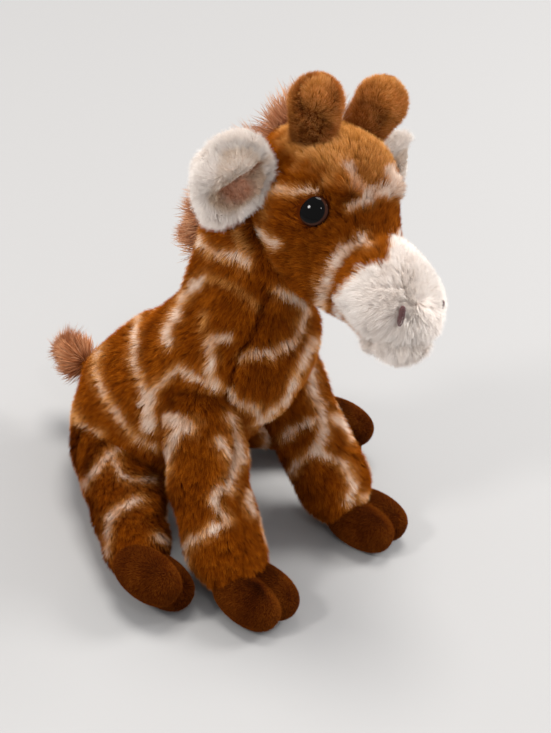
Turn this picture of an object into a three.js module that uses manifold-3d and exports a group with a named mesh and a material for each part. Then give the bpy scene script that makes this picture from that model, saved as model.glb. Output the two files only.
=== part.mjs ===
// A seated plush giraffe, modelled the way it is sewn: a stuffed trunk with a pellet bag in its seat, a
// neck, a head with button eyes locked by washers, and legs, ears and a tail that swing at their seams.
// Millimetres, +Z up. The giraffe faces -Y, and its left is +X. The origin is the middle of the seat.
import * as THREE from 'three';
import { mergeVertices } from 'three/addons/utils/BufferGeometryUtils.js';
import Module from 'manifold-3d';

const wasm = await Module();
wasm.setup();

// How the pieces meet
const SEAM_GAP = 0.35;
const SWING_GAP = 0.9;
const FLOOR_CUT = 0.5;
const OVERRUN = 60;

// Trunk. Each row: share of the height, of the half width, of the half depth, and of the depth that the
// middle lies back.
const TRUNK = { height: 146, width: 100, depth: 109, cover: 3.2, bagHeight: 22 };
const TRUNK_SHARES = [
  [0.00, 0.84, 0.62, 0.02],
  [0.10, 0.95, 0.72, 0.03],
  [0.24, 1.00, 0.84, 0.00],
  [0.41, 0.98, 0.95, -0.08],
  [0.58, 0.91, 0.94, -0.21],
  [0.71, 0.85, 0.84, -0.34],
  [0.82, 0.82, 0.74, -0.41],
  [1.00, 0.68, 0.62, -0.44],
];
const TRUNK_SEAT_SHARE = 0.62;
const TRUNK_ROUND_SHARES = { start: 0.08, end: 0.15 };

// Neck. It ends in a ball that bends in the trunk's rim and a dome that the head turns on.
const NECK = { ball: 38, hold: 28, length: 74, girth: 33, dome: 20, lean: 5, sideLean: 3 };
const NECK_BASE = { x: -2, y: -43, z: 102 };
const NECK_GIRTH_SHARES = [[0.2, 1.02], [0.55, 0.98], [0.85, 0.99], [1, 1]];
const RIM = { tilt: 27, sink: 3 };

// Head, measured from a point between the ears. Rows as for the trunk, from its back to its nose.
const HEAD = { length: 100, width: 76, height: 80, back: 36, cover: 3, yaw: -8, roll: 13 };
const HEAD_CENTRE = { x: 13, y: -69, z: 200 };
const HEAD_SHARES = [
  [0.00, 0.84, 0.74, 0.10],
  [0.08, 0.88, 0.77, 0.08],
  [0.26, 0.93, 0.88, 0.03],
  [0.43, 1.02, 1.00, -0.01],
  [0.54, 0.98, 0.99, -0.05],
  [0.64, 0.82, 0.85, -0.13],
  [0.72, 0.70, 0.70, -0.20],
  [0.83, 0.61, 0.57, -0.25],
  [1.00, 0.50, 0.46, -0.26],
];
const HEAD_ROUND_SHARES = { start: 0.3, end: 0.14 };

// Face
const MUZZLE = { length: 44, width: 53, height: 43, start: 41, drop: 20 };
const MUZZLE_SHARES = [[0, 0.84, 0.88, 0.04], [0.35, 1, 1, 0], [1, 0.92, 0.88, -0.12]];
const MUZZLE_ROUND_SHARES = { start: 0.12, end: 0.52 };
const CHIN = { length: 34, width: 35, height: 20, forward: 68, drop: 39.5 };
const NOSTRIL = { height: 10, width: 2.4, depth: 1.8, aside: 43, fall: 1, lean: 14 };
const EYE = {
  radius: 7.6, dome: 4.6, brim: 1.2, stem: 2.2, stemLength: 9,
  side: 28.5, forward: 21.5, up: 5.3, swing: 20, rise: 20,
};
const WASHER = { radius: 6, thickness: 1.6 };
const OSSICONE = {
  length: 31, bulb: 13, stem: 10, root: 14, spread: 17, back: 3, up: 33, splay: 21, tip: 3,
};

// Ears
const EAR = {
  length: 36, width: 47, cup: 11, curl: 5, back: 3.6, lining: 3.2, hem: 1.5, root: 4, rootLength: 15,
};
const EAR_SEAT = { side: 34, back: 6, up: 6, swing: 38, rise: 4 };
const EAR_SHARES = [[0, 0.3], [0.2, 0.72], [0.45, 1], [0.7, 0.96], [0.88, 0.7], [1, 0.3]];

// Mane
const TUFT = { radius: 7, sunk: 6, lean: 10 };
const MANE_HEAD = { tufts: 6, length: 25, first: 60, last: -4 };
const MANE_NECK = { tufts: 4, length: 19, first: 42, last: 63 };

// Tail
const TAIL = {
  ball: 6, stalk: 4.4, length: 20, tuftRadius: 8.5, tuftLength: 24, back: 38, up: 38, rise: 10,
};
const TAIL_SWING = { down: -25, up: 15 };

// Legs: the ball they swing on, their girth on the way down, where they are hinged, and where they stand
const FRONT_LEG = { ball: 21.5, knee: 20, ankle: 20.5, side: 31, forward: 53, up: 82 };
const FRONT_FOOT = { side: 46, forward: 100, up: 12, ahead: 14 };
const FRONT_SWING = { from: -15, to: 4 };
const HIND_LEG = { ball: 23, knee: 20.5, ankle: 18, side: 31, forward: -4, up: 32 };
const HIND_FOOT_RIGHT = { side: 80, forward: 65, up: 17, ahead: 9 };
const HIND_FOOT_LEFT = { side: 93, forward: 46, up: 17, ahead: 9 };
const HIND_SPLAY = { inward: 3, outward: 22 };
const LEG_END_SHARE = 0.22;
const HOOF = { length: 39, toe: 23.5, spread: 13, height: 25, toeOut: 4, roll: 40 };
const TOE_BLUNT_POWER = 0.72;

// Colours of the fabrics and plastics
const COLOURS = {
  fur: [0.45, 0.19, 0.055], cream: [0.8, 0.68, 0.6], horn: [0.5, 0.26, 0.1], hoof: [0.16, 0.06, 0.02],
  mane: [0.42, 0.17, 0.1], filling: [0.9, 0.89, 0.86], pellets: [0.72, 0.7, 0.64], eye: [0.01, 0.008, 0.008],
  thread: [0.12, 0.03, 0.03], washer: [0.86, 0.86, 0.84],
};
const material = (name, roughness = 0.9) => new THREE.MeshStandardMaterial({
  color: new THREE.Color(...COLOURS[name]), roughness, metalness: 0,
});

const radians = THREE.MathUtils.degToRad;
const { lerp } = THREE.MathUtils;
const SIDES = [['right', -1], ['left', 1]];

// A table's column at a share of the way along it, on a smooth curve through its rows.
function along(rows, column, share) {
  const found = rows.findIndex((row) => row[0] >= share);
  const i = Math.min(Math.max(found, 1), rows.length - 1);
  const before = rows[Math.max(i - 2, 0)];
  const [start, end] = [rows[i - 1], rows[i]];
  const after = rows[Math.min(i + 1, rows.length - 1)];
  const span = end[0] - start[0];
  const t = (share - start[0]) / span;
  const slopeIn = ((end[column] - before[column]) / (end[0] - before[0])) * span;
  const slopeOut = ((after[column] - start[column]) / (after[0] - start[0])) * span;
  return (2 * t ** 3 - 3 * t ** 2 + 1) * start[column] + (t ** 3 - 2 * t ** 2 + t) * slopeIn
    + (-2 * t ** 3 + 3 * t ** 2) * end[column] + (t ** 3 - t ** 2) * slopeOut;
}

// A closed skin over rings of equal count, with a pole at each end. Rings run anticlockwise seen from +Z,
// lowest first.
function skin(rings, bottomPole, topPole) {
  const count = rings[0].length;
  const points = [...rings.flat(), bottomPole, topPole];
  const bottom = points.length - 2;
  const top = points.length - 1;
  const last = (rings.length - 1) * count;
  const faces = [];
  for (let j = 0; j < count; j += 1) {
    const k = (j + 1) % count;
    for (let i = 0; i < last; i += count) {
      faces.push(i + j, i + k, i + count + k, i + j, i + count + k, i + count + j);
    }
    faces.push(bottom, k, j, top, last + j, last + k);
  }
  const geometry = new THREE.BufferGeometry();
  const places = points.flatMap((point) => point.toArray());
  geometry.setAttribute('position', new THREE.Float32BufferAttribute(places, 3));
  geometry.setIndex(faces);
  return geometry;
}

// A form turned about Z, from the radius and height of each point between its poles. A fan widens it by a
// share of the height, along X and along Y.
function turned(profile, bottom, top, around, fan = { x: 0, y: 0 }) {
  const rings = profile.map(([radius, height]) => Array.from({ length: around }, (_, j) => {
    const angle = (2 * Math.PI * (j + 0.5)) / around;
    const swing = Math.max(height, 0);
    return new THREE.Vector3(
      radius * Math.cos(angle) + Math.sign(Math.cos(angle)) * swing * fan.x,
      radius * Math.sin(angle) + Math.sign(Math.sin(angle)) * swing * fan.y,
      height,
    );
  }));
  return skin(rings, new THREE.Vector3(0, 0, bottom), new THREE.Vector3(0, 0, top));
}

// A stuffed form along +Z from 0: oval rings that swell and taper as its rows say, with rounded ends.
function stuffed({
  length, width, depth, rows, round, flat = 0, grow = 0, around = 24, middle = 7, ends = 3,
}) {
  const rounding = (i) => 1 - Math.cos((i / ends) * (Math.PI / 2));
  const shares = [];
  for (let i = flat ? 0 : 1; i <= ends; i += 1) shares.push(round.start * rounding(i));
  for (let i = 1; i < middle; i += 1) shares.push(lerp(round.start, 1 - round.end, i / middle));
  for (let i = ends; i >= 1; i -= 1) shares.push(1 - round.end * rounding(i));
  const rings = shares.map((share) => {
    const start = Math.min(share / round.start, 1);
    const end = Math.min((1 - share) / round.end, 1);
    const girth = lerp(flat, 1, Math.sqrt(1 - (1 - start) ** 2)) * Math.sqrt(1 - (1 - end) ** 2);
    const halfWidth = (width / 2) * along(rows, 1, share) * girth + grow * girth;
    const halfDepth = (depth / 2) * along(rows, 2, share) * girth + grow * girth;
    const shift = depth * along(rows, 3, share);
    const height = lerp(-grow, length + grow, share);
    return Array.from({ length: around }, (_, j) => {
      const angle = (2 * Math.PI * (j + 0.5)) / around;
      return new THREE.Vector3(halfWidth * Math.cos(angle), shift + halfDepth * Math.sin(angle), height);
    });
  });
  const pole = (share) => new THREE.Vector3(
    0, depth * along(rows, 3, share), lerp(-grow, length + grow, share),
  );
  return skin(rings, pole(0), pole(1));
}

// An egg round its own middle, with three half sizes. A power under one makes its ends blunt.
function egg(halfX, halfY, halfZ, around = 16, steps = 9, power = 1) {
  const profile = Array.from({ length: steps - 1 }, (_, i) => {
    const angle = (Math.PI * (i + 1)) / steps;
    return [Math.sin(angle) ** power, -Math.cos(angle)];
  });
  return turned(profile, -1, 1, around).scale(halfX, halfY, halfZ);
}

// A round bar along Z from one height to another.
const bar = (radius, from, to, around = 20) => turned([[radius, from], [radius, to]], from, to, around);

function toSolid(geometry) {
  const bare = geometry.clone();
  bare.deleteAttribute('normal');
  bare.deleteAttribute('uv');
  const merged = mergeVertices(bare);
  return new wasm.Manifold(new wasm.Mesh({
    numProp: 3,
    vertProperties: merged.attributes.position.array,
    triVerts: new Uint32Array(merged.index.array),
  }));
}

function toGeometry(solid) {
  const mesh = solid.getMesh();
  const geometry = new THREE.BufferGeometry();
  geometry.setAttribute('position', new THREE.BufferAttribute(mesh.vertProperties, 3));
  geometry.setIndex(new THREE.BufferAttribute(mesh.triVerts, 1));
  return geometry;
}

const cut = (geometry, ...cutters) => toGeometry(
  cutters.reduce((solid, cutter) => solid.subtract(toSolid(cutter)), toSolid(geometry)),
);
const joined = (geometry, ...others) => toGeometry(
  others.reduce((solid, other) => solid.add(toSolid(other)), toSolid(geometry)),
);

// A geometry of one group, seen in the frame of another.
function seenFrom(geometry, group, other) {
  group.updateWorldMatrix(true, false);
  other.updateWorldMatrix(true, false);
  return geometry.clone().applyMatrix4(other.matrixWorld.clone().invert().multiply(group.matrixWorld));
}

// Blocks that fill everything below, or above, the level of zero.
const below = () => new THREE.BoxGeometry(8 * OVERRUN, 8 * OVERRUN, OVERRUN)
  .translate(0, 0, -OVERRUN / 2);
const above = () => new THREE.BoxGeometry(4 * OVERRUN, 4 * OVERRUN, 4 * OVERRUN)
  .translate(0, 0, 2 * OVERRUN);

function addGroup(parent, name) {
  const group = new THREE.Group();
  group.name = name;
  parent.add(group);
  return group;
}

function add(group, name, geometry, look) {
  const mesh = new THREE.Mesh(geometry, look);
  mesh.name = name;
  group.add(mesh);
  return mesh;
}

const giraffe = new THREE.Group();
giraffe.name = 'giraffe';

// Neck
const neckGroup = addGroup(giraffe, 'neck_bend');
neckGroup.position.set(NECK_BASE.x, NECK_BASE.y, NECK_BASE.z);
neckGroup.rotation.set(radians(NECK.lean), radians(NECK.sideLean), 0);

function neckForm(grow = 0) {
  const ball = NECK.ball + grow;
  const ballSteps = 9;
  const domeSteps = 4;
  const profile = [];
  for (let i = 1; i <= ballSteps; i += 1) {
    const angle = radians(lerp(-90, NECK.hold, i / ballSteps));
    profile.push([ball * Math.cos(angle), ball * Math.sin(angle)]);
  }
  const foot = ball * Math.sin(radians(NECK.hold));
  for (const [share, girth] of NECK_GIRTH_SHARES) {
    profile.push([NECK.girth * girth + grow, lerp(foot, NECK.length, share)]);
  }
  for (let i = 1; i < domeSteps; i += 1) {
    const angle = (Math.PI / 2) * (i / domeSteps);
    const rise = (NECK.dome + grow) * Math.sin(angle);
    profile.push([(NECK.girth + grow) * Math.cos(angle), NECK.length + rise]);
  }
  return turned(profile, -ball, NECK.length + NECK.dome + grow, 24);
}
add(neckGroup, 'neck', neckForm(), material('fur'));

// Legs. Each group's Z runs down the leg, and its X is level.
function legForm(leg, length, grow = 0, fan = undefined) {
  const steps = 5;
  const endSteps = 3;
  const ball = leg.ball + grow;
  const profile = [];
  for (let i = 1; i <= steps; i += 1) {
    const angle = radians(lerp(-90, 0, i / steps));
    profile.push([ball * Math.cos(angle), ball * Math.sin(angle)]);
  }
  const middle = length * (1 - LEG_END_SHARE);
  const girths = [[0, leg.ball], [0.5, leg.knee], [1, leg.ankle]];
  for (let i = 1; i <= steps; i += 1) {
    profile.push([along(girths, 1, i / steps) + grow, middle * (i / steps)]);
  }
  const end = length * LEG_END_SHARE + grow;
  for (let i = 1; i < endSteps; i += 1) {
    const angle = (Math.PI / 2) * (i / endSteps);
    profile.push([(leg.ankle + grow) * Math.cos(angle), middle + end * Math.sin(angle)]);
  }
  return turned(profile, -ball, middle + end, 20, fan);
}

// Two toes side by side with a cleft between them, facing -Y, rolled towards one side and standing on the
// ground.
function hoofForm(ahead, roll) {
  const toe = egg(HOOF.toe / 2, HOOF.height / 2, HOOF.length / 2, 14, 8, TOE_BLUNT_POWER)
    .rotateX(Math.PI / 2);
  const toes = SIDES.map(([, side]) => toe.clone().translate(side * (HOOF.spread / 2), 0, 0));
  const hoof = joined(...toes).rotateY(radians(roll));
  hoof.computeBoundingBox();
  return hoof.translate(0, -ahead, -hoof.boundingBox.min.z - FLOOR_CUT);
}

const pockets = [];
function addLeg(name, side, leg, foot, swingsForward, [low, high], roll) {
  const hip = new THREE.Vector3(side * leg.side, -leg.forward, leg.up);
  const ankle = new THREE.Vector3(side * foot.side, -foot.forward, foot.up);
  const group = addGroup(giraffe, `${name}_swing`);
  const z = ankle.clone().sub(hip).normalize();
  const x = new THREE.Vector3(-z.y, z.x, 0).normalize();
  group.position.copy(hip);
  const y = new THREE.Vector3().crossVectors(z, x);
  group.quaternion.setFromRotationMatrix(new THREE.Matrix4().makeBasis(x, y, z));

  const stance = addGroup(giraffe, `${name}_stance`);
  stance.position.set(ankle.x, ankle.y, 0);
  stance.rotation.z = side * radians(HOOF.toeOut);
  group.attach(stance);
  const length = hip.distanceTo(ankle);
  const ground = below();
  // The leg is scooped where it swings past the neck.
  const scoops = [low, 0, high].map((angle) => {
    const neck = seenFrom(neckForm(SWING_GAP), neckGroup, group);
    return swingsForward ? neck.rotateX(radians(-angle)) : neck.rotateY(radians(-angle));
  });
  const shape = cut(legForm(leg, length), ...scoops, seenFrom(ground, giraffe, group));
  add(group, name, shape, material('fur'));
  const hoof = cut(
    hoofForm(foot.ahead, -side * roll),
    seenFrom(legForm(leg, length, SEAM_GAP), group, stance),
    seenFrom(ground, giraffe, stance),
  );
  add(stance, name.replace('leg', 'hoof'), hoof, material('hoof'));

  // The pocket that the trunk leaves for the leg, wide enough for its whole swing
  const spread = Math.tan(radians((high - low) / 2));
  const middle = radians((low + high) / 2);
  const fan = swingsForward ? { x: 0, y: spread } : { x: spread, y: 0 };
  const pocket = legForm(leg, length, SWING_GAP, fan);
  pockets.push(seenFrom(swingsForward ? pocket.rotateX(middle) : pocket.rotateY(middle), group, giraffe));
}
for (const [word, side, hindFoot] of [['right', -1, HIND_FOOT_RIGHT], ['left', 1, HIND_FOOT_LEFT]]) {
  addLeg(`front_leg_${word}`, side, FRONT_LEG, FRONT_FOOT, true, [FRONT_SWING.from, FRONT_SWING.to], 0);
  const splay = [-HIND_SPLAY.inward * side, HIND_SPLAY.outward * side].sort((a, b) => a - b);
  addLeg(`hind_leg_${word}`, side, HIND_LEG, hindFoot, false, splay, HOOF.roll);
}

// Tail
const tailGroup = addGroup(giraffe, 'tail_swing');
tailGroup.position.set(0, TAIL.back, TAIL.up);
tailGroup.rotation.x = -radians(90 - TAIL.rise);
function stalkForm(grow = 0, fan = undefined) {
  const steps = 4;
  const ball = TAIL.ball + grow;
  const profile = [];
  for (let i = 1; i <= steps; i += 1) {
    const angle = radians(lerp(-90, 30, i / steps));
    profile.push([ball * Math.cos(angle), ball * Math.sin(angle)]);
  }
  profile.push([TAIL.stalk + grow, ball], [TAIL.stalk + grow, TAIL.length + grow]);
  return turned(profile, -ball, TAIL.length + grow, 14, fan);
}
const tuftEnd = egg(TAIL.tuftRadius, TAIL.tuftRadius, TAIL.tuftLength / 2, 14, 8)
  .translate(0, 0, TAIL.length + TAIL.tuftLength / 2 - TAIL.stalk);
add(tailGroup, 'tail', stalkForm(), material('fur'));
add(tailGroup, 'tail_tuft', cut(tuftEnd, stalkForm(SEAM_GAP)), material('mane'));
const tailFan = Math.tan(radians((TAIL_SWING.up - TAIL_SWING.down) / 2));
const tailPocket = stalkForm(SWING_GAP, { x: 0, y: tailFan })
  .rotateX(radians((TAIL_SWING.up + TAIL_SWING.down) / 2));
pockets.push(seenFrom(tailPocket, tailGroup, giraffe));

// Trunk: cover, filling, and the pellet bag that weighs down the seat
const trunkForm = (grow = 0, around = 28, middle = 9) => stuffed({
  length: TRUNK.height, width: TRUNK.width, depth: TRUNK.depth, rows: TRUNK_SHARES,
  round: TRUNK_ROUND_SHARES, flat: TRUNK_SEAT_SHARE, grow, around, middle,
}).translate(0, 0, -FLOOR_CUT);
const neckSocket = seenFrom(neckForm(SWING_GAP), neckGroup, giraffe);
const bagTop = TRUNK.cover + TRUNK.bagHeight;
const rimPlane = (down = 0) => above().translate(0, 0, -RIM.sink - down).rotateX(radians(RIM.tilt))
  .translate(NECK_BASE.x, NECK_BASE.y, NECK_BASE.z);
const inside = (gap = 0) => cut(trunkForm(-TRUNK.cover - gap, 20, 7), rimPlane(TRUNK.cover + gap));
add(giraffe, 'trunk_cover', cut(
  trunkForm(), rimPlane(), inside(), below(), neckSocket, ...pockets,
), material('fur'));
add(giraffe, 'trunk_filling', cut(
  inside(SEAM_GAP), below().translate(0, 0, bagTop + SEAM_GAP), neckSocket, ...pockets,
), material('filling'));
const pellets = cut(inside(SEAM_GAP), above().translate(0, 0, bagTop), ...pockets);
add(giraffe, 'pellet_bag', pellets, material('pellets'));

// Head, held nearly level on the leaning neck and looking a little to its right
const headGroup = addGroup(neckGroup, 'head_turn');
headGroup.position.z = NECK.length;
const face = addGroup(giraffe, 'face');
face.position.set(HEAD_CENTRE.x, HEAD_CENTRE.y, HEAD_CENTRE.z);
face.rotation.set(0, radians(HEAD.roll), radians(HEAD.yaw), 'ZYX');
headGroup.attach(face);

const headForm = (grow = 0, around = 24, ends = 4) => stuffed({
  length: HEAD.length, width: HEAD.width, depth: HEAD.height, rows: HEAD_SHARES,
  round: HEAD_ROUND_SHARES, grow, around, middle: 6, ends,
}).rotateX(Math.PI / 2).translate(0, HEAD.back, 0);
const muzzleForm = (grow = 0) => stuffed({
  length: MUZZLE.length, width: MUZZLE.width, depth: MUZZLE.height, rows: MUZZLE_SHARES,
  round: MUZZLE_ROUND_SHARES, grow, around: 22, middle: 3, ends: 4,
}).rotateX(Math.PI / 2).translate(0, -MUZZLE.start, -MUZZLE.drop);

const neckSeat = seenFrom(neckForm(SWING_GAP), neckGroup, face);
const coverCutters = [neckSeat];
const fillingCutters = [neckSeat];

// Eyes, whose stems run through the cover into washers
for (const [word, side] of SIDES) {
  const eye = addGroup(face, `eye_${word}_seat`);
  eye.position.set(side * EYE.side, -EYE.forward, EYE.up);
  const gaze = new THREE.Vector3(side, -Math.tan(radians(EYE.swing)), Math.tan(radians(EYE.rise)));
  gaze.normalize();
  eye.quaternion.setFromUnitVectors(new THREE.Vector3(0, 0, 1), gaze);
  const domeSteps = 4;
  const profile = [[EYE.stem, -EYE.stemLength], [EYE.stem, 0], [EYE.radius, 0], [EYE.radius, EYE.brim]];
  for (let i = 1; i < domeSteps; i += 1) {
    const angle = (Math.PI / 2) * (i / domeSteps);
    profile.push([EYE.radius * Math.cos(angle), EYE.brim + EYE.dome * Math.sin(angle)]);
  }
  add(eye, `eye_${word}`, turned(profile, -EYE.stemLength, EYE.brim + EYE.dome, 24), material('eye', 0.1));
  const inner = -HEAD.cover - SEAM_GAP;
  const hole = bar(EYE.stem + SEAM_GAP, -OVERRUN, OVERRUN, 12);
  const washer = cut(bar(WASHER.radius, inner - WASHER.thickness, inner), hole);
  add(eye, `eye_washer_${word}`, washer, material('washer', 0.5));
  const seat = bar(EYE.radius + SEAM_GAP, -SEAM_GAP, OVERRUN, 24);
  const stemHole = bar(EYE.stem + SEAM_GAP, -EYE.stemLength - SEAM_GAP, 0, 12);
  const washerEnd = inner - WASHER.thickness - SEAM_GAP;
  const washerRoom = bar(WASHER.radius + SEAM_GAP, washerEnd, inner + SEAM_GAP);
  const room = [seat, stemHole, washerRoom].map((cutter) => seenFrom(cutter, eye, face));
  coverCutters.push(...room);
  fillingCutters.push(...room);
}

// Ears: a furry back and a pale lining, cupped forward, that flap about a rolled root
function leafForm(length, width, thickness, offset, start) {
  const steps = 9;
  const around = 16;
  const rings = Array.from({ length: steps }, (_, i) => {
    const share = i / (steps - 1);
    const half = (width / 2) * along(EAR_SHARES, 1, share);
    return Array.from({ length: around }, (__, j) => {
      const angle = (2 * Math.PI * (j + 0.5)) / around;
      const x = half * Math.cos(angle);
      const bend = EAR.cup * ((2 * x) / EAR.width) ** 2 + EAR.curl * share ** 2;
      const y = bend + offset + (thickness / 2) * Math.sin(angle);
      return new THREE.Vector3(x, y, lerp(start, length, share));
    });
  });
  const pole = (share, z) => new THREE.Vector3(0, offset + EAR.curl * share ** 2, z);
  return skin(rings, pole(0, start), pole(1, length + thickness / 2));
}
for (const [word, side] of SIDES) {
  const ear = addGroup(face, `ear_${word}_flap`);
  ear.position.set(side * EAR_SEAT.side, EAR_SEAT.back, EAR_SEAT.up);
  // Z runs out along the ear, Y the way that the cup opens, and X up or down its root.
  const out = new THREE.Vector3(side, Math.tan(radians(EAR_SEAT.swing)), Math.tan(radians(EAR_SEAT.rise)));
  out.normalize();
  const level = new THREE.Vector3().crossVectors(new THREE.Vector3(0, -1, 0), out).normalize();
  const open = new THREE.Vector3().crossVectors(out, level);
  ear.quaternion.setFromRotationMatrix(new THREE.Matrix4().makeBasis(level, open, out));
  const root = bar(EAR.root, -EAR.rootLength / 2, EAR.rootLength / 2, 16).rotateY(Math.PI / 2);
  add(ear, `ear_${word}`, joined(leafForm(EAR.length, EAR.width, EAR.back, 0, 0), root), material('fur'));
  const lining = leafForm(
    EAR.length - EAR.hem, EAR.width - 2 * EAR.hem, EAR.lining, (EAR.back + EAR.lining) / 2 + 2 * SEAM_GAP,
    EAR.root + EAR.hem,
  );
  add(ear, `ear_lining_${word}`, lining, material('cream'));
  const grooveEnd = EAR.rootLength / 2 + SWING_GAP;
  const groove = bar(EAR.root + SWING_GAP, -grooveEnd, grooveEnd, 16).rotateY(Math.PI / 2);
  coverCutters.push(seenFrom(groove, ear, face));
  fillingCutters.push(seenFrom(groove, ear, face));
}

add(face, 'head_cover', cut(headForm(), headForm(-HEAD.cover, 18, 3), ...coverCutters), material('fur'));
const headFilling = cut(headForm(-HEAD.cover - SEAM_GAP, 18, 3), ...fillingCutters);
add(face, 'head_filling', headFilling, material('filling'));
add(face, 'muzzle', cut(muzzleForm(), headForm(SEAM_GAP)), material('cream'));
const chin = egg(CHIN.width / 2, CHIN.length / 2, CHIN.height / 2).translate(0, -CHIN.forward, -CHIN.drop);
add(face, 'chin', cut(chin, headForm(SEAM_GAP), muzzleForm(SEAM_GAP)), material('cream'));

const muzzleMiddle = new THREE.Vector3(0, -MUZZLE.start - MUZZLE.length / 2, -MUZZLE.drop);
const bothSides = new THREE.MeshStandardMaterial({ side: THREE.DoubleSide });
for (const [word, side] of SIDES) {
  // A nostril is stitched where a line from the middle of the muzzle leaves it.
  const aside = side * Math.tan(radians(NOSTRIL.aside));
  const outward = new THREE.Vector3(aside, -1, -Math.tan(radians(NOSTRIL.fall))).normalize();
  const surface = new THREE.Mesh(muzzleForm(SEAM_GAP), bothSides);
  const [hit] = new THREE.Raycaster(muzzleMiddle, outward).intersectObject(surface);
  const nostril = egg(NOSTRIL.width / 2, NOSTRIL.depth, NOSTRIL.height / 2, 10, 6)
    .rotateY(side * radians(NOSTRIL.lean))
    .rotateZ(Math.atan2(outward.x, -outward.y))
    .translate(...hit.point.toArray());
  add(face, `nostril_${word}`, cut(nostril, muzzleForm(SEAM_GAP)), material('thread'));

  const steps = 4;
  const bulbAt = OSSICONE.length - OSSICONE.bulb;
  const profile = [[OSSICONE.stem, -OSSICONE.root], [OSSICONE.stem, 0]];
  for (let i = -1; i < steps; i += 1) {
    const angle = (Math.PI / 2) * (i / steps);
    profile.push([OSSICONE.bulb * Math.cos(angle), bulbAt + OSSICONE.bulb * Math.sin(angle)]);
  }
  const ossicone = turned(profile, -OSSICONE.root, OSSICONE.length, 18)
    .rotateY(side * radians(OSSICONE.splay)).rotateX(radians(OSSICONE.tip))
    .translate(side * OSSICONE.spread, OSSICONE.back, OSSICONE.up);
  add(face, `ossicone_${word}`, cut(ossicone, headForm(SEAM_GAP)), material('horn'));
}

// Mane: tufts fused in a row, over the crown and down the back of the neck
const tuft = (length) => turned(
  [[TUFT.radius, 0], [TUFT.radius, length / 3], [TUFT.radius / 2, (2 * length) / 3]], 0, length, 8,
);
const crownTufts = Array.from({ length: MANE_HEAD.tufts }, (_, i) => {
  const angle = radians(lerp(MANE_HEAD.first, MANE_HEAD.last, i / (MANE_HEAD.tufts - 1)));
  return tuft(MANE_HEAD.length).rotateX(-Math.PI / 2 + angle).translate(
    0, (HEAD.back - TUFT.sunk) * Math.cos(angle), (HEAD.height / 2 - TUFT.sunk) * Math.sin(angle),
  );
});
add(face, 'mane_head', cut(joined(...crownTufts), headForm(SEAM_GAP), neckSeat), material('mane'));
const neckTufts = Array.from({ length: MANE_NECK.tufts }, (_, i) => {
  const height = lerp(MANE_NECK.first, MANE_NECK.last, i / (MANE_NECK.tufts - 1));
  return tuft(MANE_NECK.length).rotateX(-Math.PI / 2 + radians(TUFT.lean))
    .translate(0, NECK.girth - TUFT.sunk, height);
});
add(neckGroup, 'mane_neck', cut(joined(...neckTufts), neckForm(SEAM_GAP)), material('mane'));

export default giraffe;
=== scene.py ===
# A seated plush giraffe: stuffed skins covered in cut pile, with button eyes, stitched nostrils and velour hooves.
# Sizes are in millimetres until a mesh is made. The giraffe faces -Y, and its left is +X.
import math

import bpy
import numpy as np
from mathutils import Matrix, Vector


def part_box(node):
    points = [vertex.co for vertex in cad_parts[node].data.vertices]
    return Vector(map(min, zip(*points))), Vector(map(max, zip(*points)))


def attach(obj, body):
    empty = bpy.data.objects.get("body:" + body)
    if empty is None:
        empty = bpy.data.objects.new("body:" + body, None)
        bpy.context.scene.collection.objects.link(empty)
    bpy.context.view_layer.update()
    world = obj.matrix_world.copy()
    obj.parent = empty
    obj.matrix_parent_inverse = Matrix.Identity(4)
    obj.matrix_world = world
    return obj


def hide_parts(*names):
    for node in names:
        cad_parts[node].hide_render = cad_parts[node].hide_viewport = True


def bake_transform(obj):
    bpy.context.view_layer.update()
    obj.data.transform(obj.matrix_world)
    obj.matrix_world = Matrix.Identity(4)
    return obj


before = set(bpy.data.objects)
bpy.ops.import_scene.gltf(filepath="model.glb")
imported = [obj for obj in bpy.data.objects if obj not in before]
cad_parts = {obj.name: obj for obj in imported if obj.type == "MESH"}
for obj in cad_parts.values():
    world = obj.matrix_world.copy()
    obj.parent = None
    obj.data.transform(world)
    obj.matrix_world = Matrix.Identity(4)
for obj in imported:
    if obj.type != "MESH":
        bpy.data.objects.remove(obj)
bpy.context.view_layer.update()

MM = 0.001
random = np.random.default_rng(7)


def link(obj):
    bpy.context.scene.collection.objects.link(obj)
    return obj


# ---------------------------------------------------------------- camera
WIDTH, HEIGHT, FOCAL = 551, 733, 1830  # of the photograph, in pixels
AZIMUTH, ELEVATION, ROLL = -56, 33, 10
FAR = 930
AIM = np.array([4.0, -67.0, 105.0])


def camera_axes():
    """The photograph's right, up and backward directions."""
    a, e, r = (math.radians(angle) for angle in (AZIMUTH, ELEVATION, ROLL))
    back = np.array([math.sin(a) * math.cos(e), -math.cos(a) * math.cos(e), math.sin(e)])
    right = np.array([math.cos(a), math.sin(a), 0.0])
    up = np.cross(back, right)
    return math.cos(r) * right + math.sin(r) * up, math.cos(r) * up - math.sin(r) * right, back


RIGHT, UP, BACK = camera_axes()
EYE_POINT = AIM + BACK * FAR


def in_photo(points):
    """Where points in millimetres lie in the photograph, in its pixels."""
    seen = points - EYE_POINT
    far = -(seen @ BACK)
    return np.stack([WIDTH / 2 + FOCAL * (seen @ RIGHT) / far, HEIGHT / 2 - FOCAL * (seen @ UP) / far], -1)


def make_camera():
    data = bpy.data.cameras.new("camera")
    data.lens = FOCAL / HEIGHT * data.sensor_width
    data.clip_start, data.clip_end = 0.05, 20
    camera = link(bpy.data.objects.new("camera", data))
    facing = Matrix((RIGHT, UP, BACK)).transposed().to_4x4()
    camera.matrix_world = Matrix.Translation(EYE_POINT * MM) @ facing
    bpy.context.scene.camera = camera


make_camera()


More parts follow.
